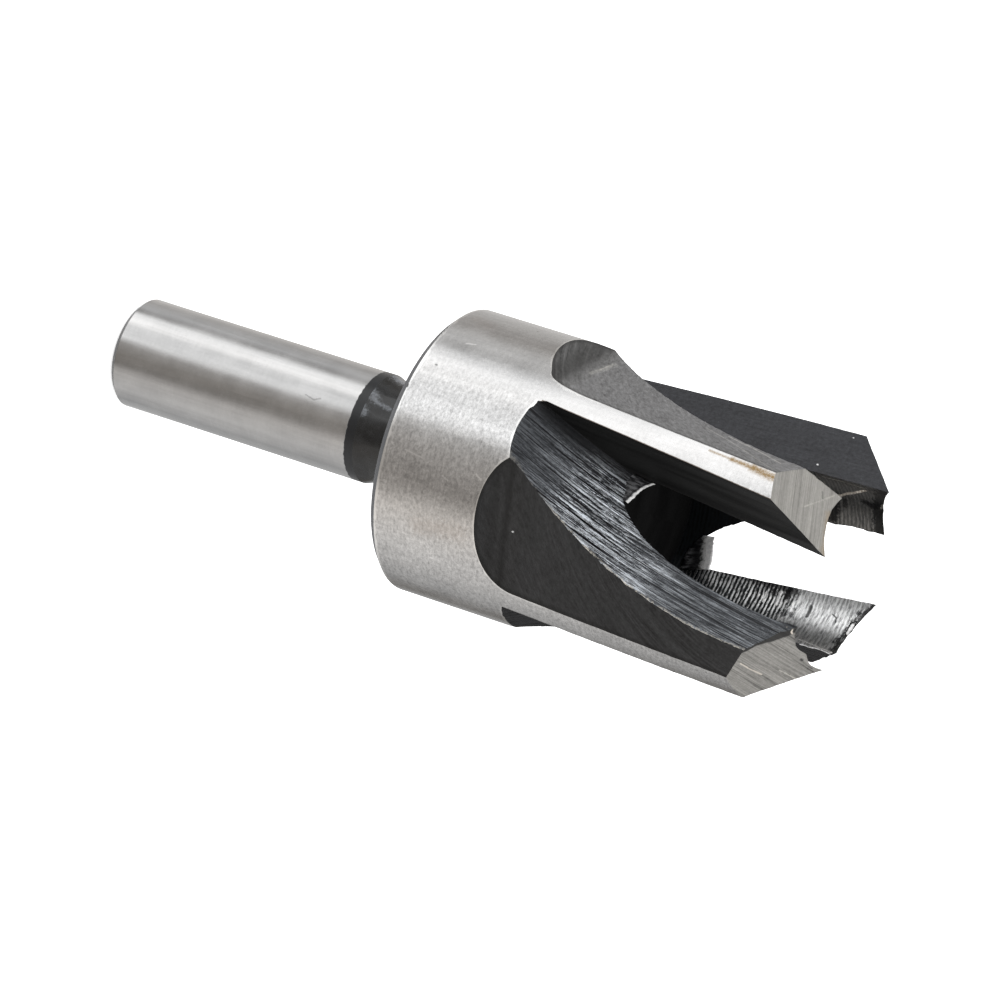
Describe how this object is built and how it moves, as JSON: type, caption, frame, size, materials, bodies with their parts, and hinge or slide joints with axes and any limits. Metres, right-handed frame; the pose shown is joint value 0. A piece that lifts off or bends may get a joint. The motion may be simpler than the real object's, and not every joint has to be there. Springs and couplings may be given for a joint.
{
  "type": "tapered plug cutter",
  "caption": "Tapered plug cutter for a drill: round steel shank, narrow neck and a cup-shaped head with sharp milled claws round a tapered blind bore.",
  "frame": {"origin": "centre of the shank's end face, which the tool stands on", "axes": "+Z along the tool's axis, from the shank's end to the tips of the claws; +X runs along the cutting face of the first claw"},
  "size_m": [0.0256, 0.0256, 0.0715],
  "materials": {
    "tool_steel": "shank, lands and end faces ground bright; gullets, relief flats, neck, back face and bore blackened with milling marks"
  },
  "bodies": {
    "root": {"plug_cutter": "tool_steel"}
  },
  "joints": []
}
